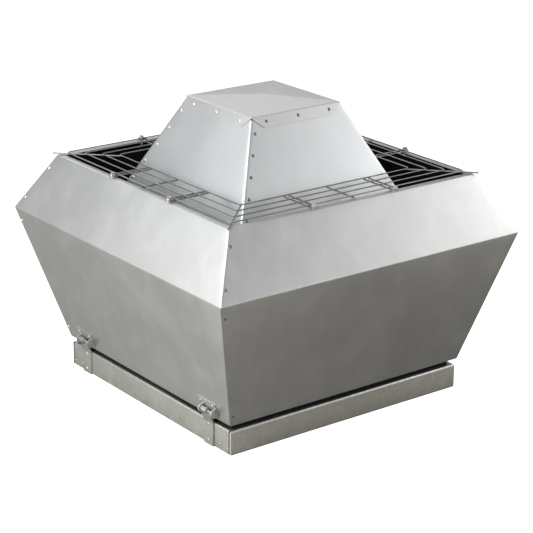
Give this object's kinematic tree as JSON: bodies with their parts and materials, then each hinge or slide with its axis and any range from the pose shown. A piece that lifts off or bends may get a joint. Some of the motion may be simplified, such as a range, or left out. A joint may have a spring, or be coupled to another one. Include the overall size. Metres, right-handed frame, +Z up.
{
  "type": "roof exhaust fan",
  "caption": "Roof exhaust fan with a square hinged casing of folded sheet metal, a central motor dome, a wire guard over the upward discharge and a galvanised base frame.",
  "frame": {"origin": "centre of the base frame, on the face that rests on the roof curb", "axes": "+Z up along the impeller axis, -Y towards the hinge side, +X to the right seen from the hinge side"},
  "size_m": [0.8556, 0.8556, 0.7068],
  "materials": {
    "galvanised": "hot-dip galvanised sheet, satin with faint spangle",
    "casing_sheet": "folded aluminium sheet, satin mill finish",
    "dome_sheet": "folded aluminium sheet, satin mill finish",
    "cap_sheet": "folded aluminium sheet, satin, lightly weathered",
    "guard_wire": "zinc plated round wire",
    "fastener": "zinc plated",
    "rivet": "dull aluminium blind rivets",
    "seal_rubber": "matt black cellular rubber",
    "impeller_metal": "satin sheet aluminium",
    "motor_paint": "semi-matt dark grey enamel",
    "cowl_paint": "semi-matt dark grey enamel",
    "core_steel": "laminated electrical steel",
    "winding_copper": "varnished copper wire",
    "shaft_steel": "ground steel",
    "bearing_steel": "polished bearing steel",
    "black_plastic": "fine-textured moulding"
  },
  "bodies": {
    "base": {"base_side_front": "galvanised", "base_side_right": "galvanised", "base_side_rear": "galvanised", "base_side_left": "galvanised", "base_corner_rivets": "fastener", "inlet_plate": "galvanised", "inlet_plate_screws": "fastener", "inlet_cone": "galvanised", "inlet_cone_rivets": "rivet", "tilt_seal": "seal_rubber", "hinge_strap_left": "galvanised", "hinge_strap_right": "galvanised", "hinge_strap_rivets": "fastener", "lock_screws": "fastener"},
    "housing": {"arm_bolts": "fastener", "bearing_lower": "bearing_steel", "bearing_upper": "bearing_steel", "bracket_rivets": "fastener", "cable_gland": "black_plastic", "cap_rivets": "rivet", "casing_panel_front": "casing_sheet", "casing_panel_left": "casing_sheet", "casing_panel_rear": "casing_sheet", "casing_panel_right": "casing_sheet", "casing_rivets": "rivet", "deck_arms": "galvanised", "deck_screws": "fastener", "dome_cap": "cap_sheet", "dome_panel_front": "dome_sheet", "dome_panel_left": "dome_sheet", "dome_panel_rear": "dome_sheet", "dome_panel_right": "dome_sheet", "dome_rivets": "rivet", "fan_cowl": "cowl_paint", "guard_screws": "fastener", "guard_washers": "fastener", "hinge_leaf_left": "galvanised", "hinge_leaf_right": "galvanised", "hinge_pins": "fastener", "lock_brackets": "galvanised", "motor_body": "motor_paint", "motor_bolts": "fastener", "motor_deck": "galvanised", "motor_lower_shield": "motor_paint", "motor_upper_shield": "motor_paint", "stator_core": "core_steel", "stator_windings": "winding_copper", "terminal_box": "black_plastic", "terminal_box_lid": "black_plastic", "wire_guard": "guard_wire"},
    "impeller": {"impeller_backplate": "impeller_metal", "impeller_blades": "impeller_metal", "impeller_shroud": "impeller_metal", "impeller_hub": "impeller_metal", "hub_rivets": "fastener", "hub_bolt": "fastener", "motor_shaft": "shaft_steel", "rotor_core": "core_steel", "cooling_fan": "black_plastic"}
  },
  "joints": [
    {"name": "housing_tilt", "type": "hinge", "parent": "base", "child": "housing", "pos_m": [0, -0.351, 0.093], "axis": [1, 0, 0], "range_deg": [0, 80]},
    {"name": "impeller_spin", "type": "hinge", "parent": "housing", "child": "impeller", "pos_m": [0, 0, 0.37], "axis": [0, 0, 1], "continuous": true}
  ]
}
